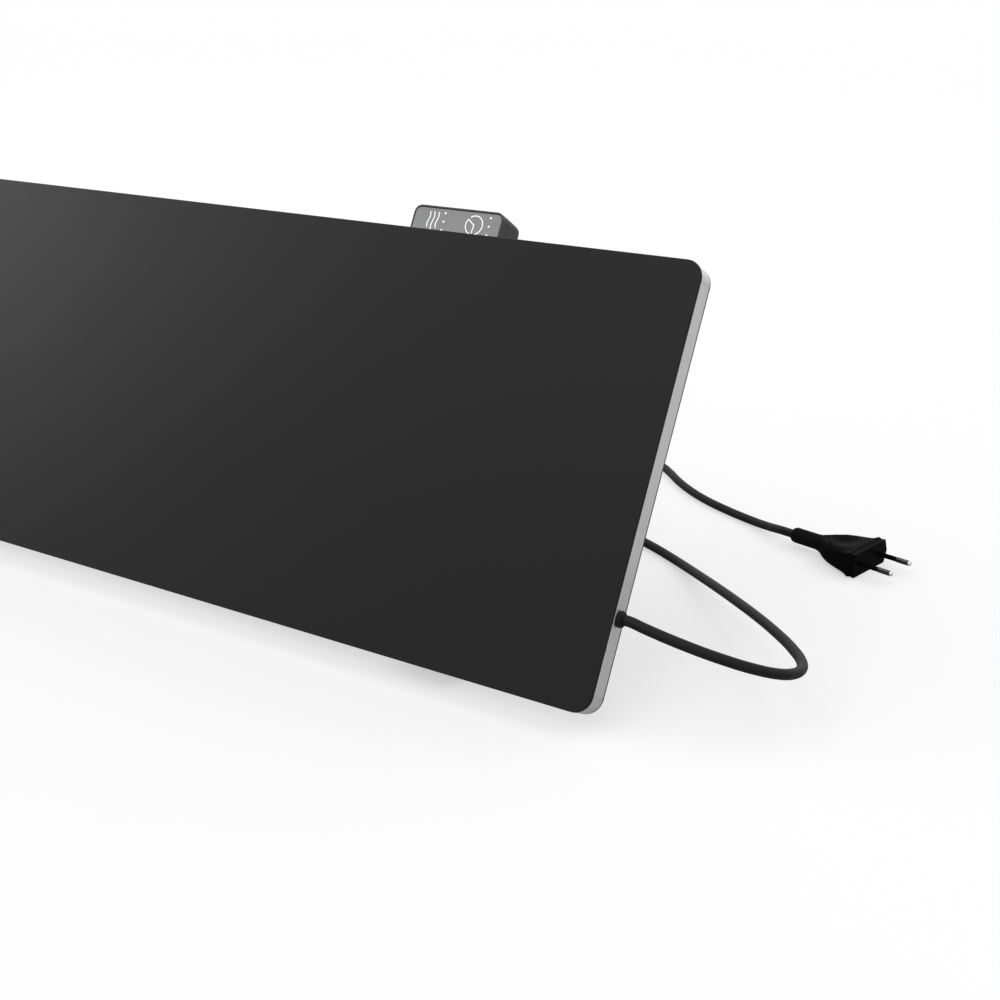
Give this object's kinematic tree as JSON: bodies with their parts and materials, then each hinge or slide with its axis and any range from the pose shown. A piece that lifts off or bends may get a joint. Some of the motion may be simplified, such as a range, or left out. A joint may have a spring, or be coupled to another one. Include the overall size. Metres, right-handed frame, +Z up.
{
  "type": "infrared heater",
  "caption": "Slim infrared panel heater leaning back on fold-out legs, with a touch control box behind its top edge and a mains lead with a flat plug.",
  "frame": {"origin": "on the floor under the middle of the heater: half way along the panel, and half way from its lower front edge to the heels of its legs", "axes": "+X along the panel to its right end as seen from the front, +Y to the back, +Z up"},
  "size_m": [0.6726, 0.3244, 0.1933],
  "materials": {
    "black_coat": "satin",
    "satin_silver": "satin anodised",
    "cast_silver": "satin",
    "dark_steel": "matt powder coat",
    "zinc_steel": "zinc plated",
    "dark_plastic": "fine matt",
    "grey_face": "satin gloss",
    "rubber": "matt",
    "cord_black": "satin",
    "copper": "bare copper",
    "carbon_film": "matt",
    "fibre_board": "pressed mineral fibre",
    "white_nylon": "moulded",
    "clear_acrylic": "clear",
    "green_board": "solder resist",
    "nickel_pin": "nickel plated"
  },
  "bodies": {
    "panel": {"front_plate": "black_coat", "frame_top": "satin_silver", "frame_bottom": "satin_silver", "frame_left": "satin_silver", "frame_right": "satin_silver", "frame_corner_top_left": "cast_silver", "frame_corner_bottom_left": "cast_silver", "frame_corner_top_right": "cast_silver", "frame_corner_bottom_right": "cast_silver", "rear_cover": "dark_steel", "cover_screw_top_1": "zinc_steel", "cover_screw_bottom_1": "zinc_steel", "cover_screw_top_2": "zinc_steel", "cover_screw_bottom_2": "zinc_steel", "cover_screw_top_3": "zinc_steel", "cover_screw_bottom_3": "zinc_steel", "heating_film": "carbon_film", "busbar_top": "copper", "busbar_bottom": "copper", "insulation_board": "fibre_board", "thermal_cutout": "zinc_steel", "temperature_sensor": "dark_plastic", "terminal_block": "white_nylon", "cord_clamp": "white_nylon", "cable_gland": "rubber", "heater_wire_live": "cord_black", "heater_wire_neutral": "cord_black", "supply_wire_live": "cord_black", "supply_wire_neutral": "cord_black", "wire_grommet": "rubber", "control_face": "grey_face", "touch_sensor_sheet": "copper", "control_case_front": "dark_plastic", "control_case_rear": "dark_plastic", "light_guide_heat": "clear_acrylic", "light_guide_timer": "clear_acrylic", "circuit_board": "green_board", "relay": "dark_plastic", "power_module": "dark_plastic", "supply_capacitor": "zinc_steel", "case_screw_1": "zinc_steel", "case_screw_2": "zinc_steel", "leg_bracket_left": "dark_steel", "hinge_pin_left": "zinc_steel", "front_foot_left": "rubber", "leg_bracket_right": "dark_steel", "hinge_pin_right": "zinc_steel", "front_foot_right": "rubber", "cord_lead": "cord_black", "cord_coil": "cord_black", "cord_tail": "cord_black", "plug_body": "cord_black", "plug_pin_1": "nickel_pin", "plug_pin_2": "nickel_pin", "pin_sleeve_1": "cord_black", "pin_sleeve_2": "cord_black"},
    "left_leg": {"leg_left": "dark_steel", "leg_shoe_left": "rubber"},
    "right_leg": {"leg_right": "dark_steel", "leg_shoe_right": "rubber"}
  },
  "joints": [
    {"name": "left_leg_fold", "type": "hinge", "parent": "panel", "child": "left_leg", "pos_m": [-0.214, 0.03052, 0.15028], "axis": [1, 0, 0], "range_deg": [-41, 0]},
    {"name": "right_leg_fold", "type": "hinge", "parent": "panel", "child": "right_leg", "pos_m": [0.214, 0.03052, 0.15028], "axis": [1, 0, 0], "range_deg": [-41, 0]}
  ]
}
